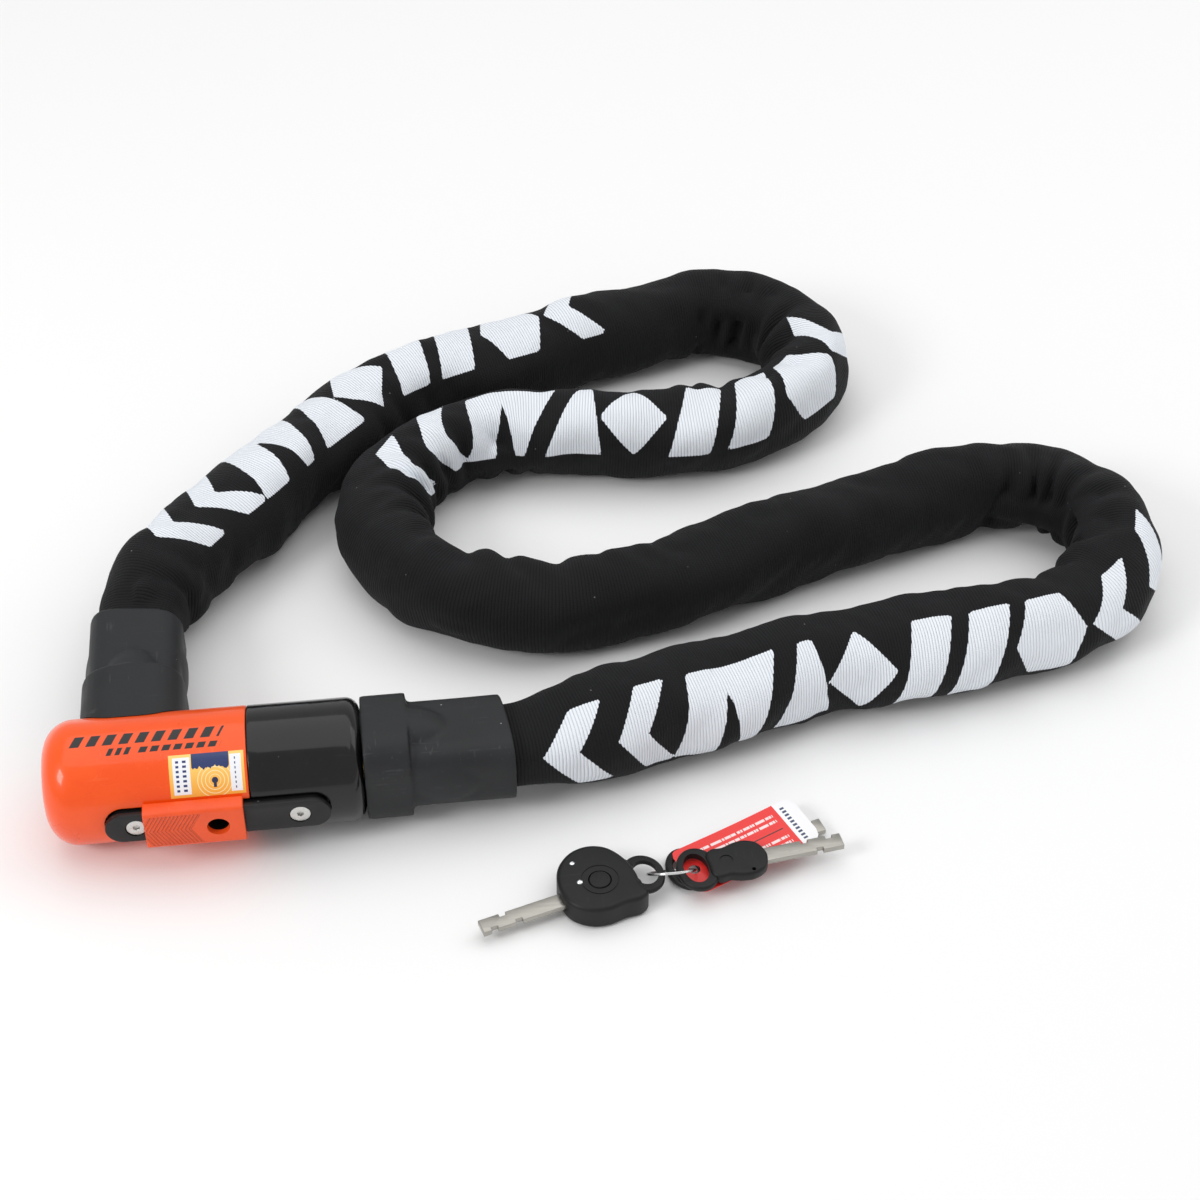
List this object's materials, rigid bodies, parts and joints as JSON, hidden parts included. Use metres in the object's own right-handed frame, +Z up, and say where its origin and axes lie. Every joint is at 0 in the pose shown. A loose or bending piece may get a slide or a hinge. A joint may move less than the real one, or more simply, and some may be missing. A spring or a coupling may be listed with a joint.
{
  "type": "chain lock",
  "caption": "barrel lock on a hardened steel link chain in a ribbed fabric sleeve, laid out in an S, with a sliding keyway cover, a bolt end and keys on a ring",
  "frame": {"origin": "middle of the whole lay in X and Y, on the floor that it lies on", "axes": "+X along the barrel towards the bolt end, +Y away from the keyway side, +Z up"},
  "size_m": [0.4738, 0.3888, 0.049],
  "materials": {
    "orange_plastic": "glossy moulded orange plastic",
    "slider_plastic": "matte orange plastic",
    "black_gloss": "high-gloss black plastic",
    "black_satin": "satin black plastic",
    "hard_steel": "hardened steel, dull",
    "screw_steel": "bright steel",
    "brass": "machined brass",
    "gold_zinc": "yellow zinc-plated steel",
    "boot_rubber": "dark grey matte rubber",
    "sleeve_fabric": "ribbed woven black fabric with white print",
    "key_steel": "nickel silver",
    "ring_steel": "polished wire",
    "key_plastic": "satin black plastic",
    "tag_card": "printed card, red with plain white lines"
  },
  "bodies": {
    "root": {"orange_cover": "orange_plastic", "black_cover": "black_gloss", "keyway_rail": "black_satin", "lock_body": "hard_steel", "anchor_pin": "hard_steel", "chain_link_01": "hard_steel", "chain_link_02": "hard_steel", "chain_link_03": "hard_steel", "chain_link_04": "hard_steel", "chain_link_05": "hard_steel", "chain_link_06": "hard_steel", "chain_link_07": "hard_steel", "chain_link_08": "hard_steel", "chain_link_09": "hard_steel", "chain_link_10": "hard_steel", "chain_link_11": "hard_steel", "chain_link_12": "hard_steel", "chain_link_13": "hard_steel", "chain_link_14": "hard_steel", "chain_link_15": "hard_steel", "chain_link_16": "hard_steel", "chain_link_17": "hard_steel", "chain_link_18": "hard_steel", "chain_link_19": "hard_steel", "chain_link_20": "hard_steel", "chain_link_21": "hard_steel", "chain_link_22": "hard_steel", "chain_link_23": "hard_steel", "chain_link_24": "hard_steel", "chain_link_25": "hard_steel", "chain_link_26": "hard_steel", "chain_link_27": "hard_steel", "chain_link_28": "hard_steel", "chain_link_29": "hard_steel", "chain_link_30": "hard_steel", "chain_link_31": "hard_steel", "chain_link_32": "hard_steel", "chain_link_33": "hard_steel", "rail_screw_left": "screw_steel", "rail_screw_right": "screw_steel", "sidebar": "screw_steel", "cylinder_shell": "brass", "fixed_end_eye": "gold_zinc", "fixed_end_boot": "boot_rubber", "chain_sleeve": "sleeve_fabric", "sleeve_end": "sleeve_fabric", "key_ring": "ring_steel", "key_tag": "tag_card"},
    "slider": {"dust_slider": "slider_plastic"},
    "core": {"cylinder_core": "brass"},
    "plate": {"locking_plate": "hard_steel"},
    "bolt_end": {"end_bolt": "gold_zinc", "bolt_end_boot": "boot_rubber"},
    "led_key": {"led_key_shell": "key_plastic", "led_key_blade": "key_steel"},
    "led_button": {"led_key_button": "key_plastic"},
    "near_key": {"near_key_bow": "key_plastic", "near_key_blade": "key_steel"},
    "far_key": {"far_key_bow": "key_plastic", "far_key_blade": "key_steel"}
  },
  "joints": [
    {"name": "slider_slide", "type": "slide", "parent": "root", "child": "slider", "axis": [1, 0, 0], "range_m": [0, 0.018]},
    {"name": "core_turn", "type": "hinge", "parent": "root", "child": "core", "pos_m": [-0.17046, -0.11484, 0.0245], "axis": [0, 1, 0], "range_deg": [0, 90]},
    {"name": "plate_slide", "type": "slide", "parent": "root", "child": "plate", "axis": [0, 0, -1], "range_m": [0, 0.005]},
    {"name": "bolt_slide", "type": "slide", "parent": "root", "child": "bolt_end", "axis": [1, 0, 0], "range_m": [0, 0.0175], "deforming": ["sleeve_end"]},
    {"name": "led_button_press", "type": "slide", "parent": "led_key", "child": "led_button", "axis": [0, 0, -1], "range_m": [0, 0.0008], "stiffness_N_per_m": 400},
    {"name": "led_key_swivel", "type": "hinge", "parent": "root", "child": "led_key", "pos_m": [-0.00935, -0.17139, 0.00555], "axis": [0, 0, 1], "range_deg": [-20, 20]},
    {"name": "near_key_swivel", "type": "hinge", "parent": "root", "child": "near_key", "pos_m": [0.00996, -0.17464, 0.0088], "axis": [0, 0, 1], "range_deg": [-20, 20]},
    {"name": "far_key_swivel", "type": "hinge", "parent": "root", "child": "far_key", "pos_m": [0.00706, -0.16839, 0.00255], "axis": [0, 0, 1], "range_deg": [-20, 20]}
  ],
  "couplings": [
    {"joint": "core_turn", "follows": "plate_slide", "rad_per_m": 314.16}
  ]
}
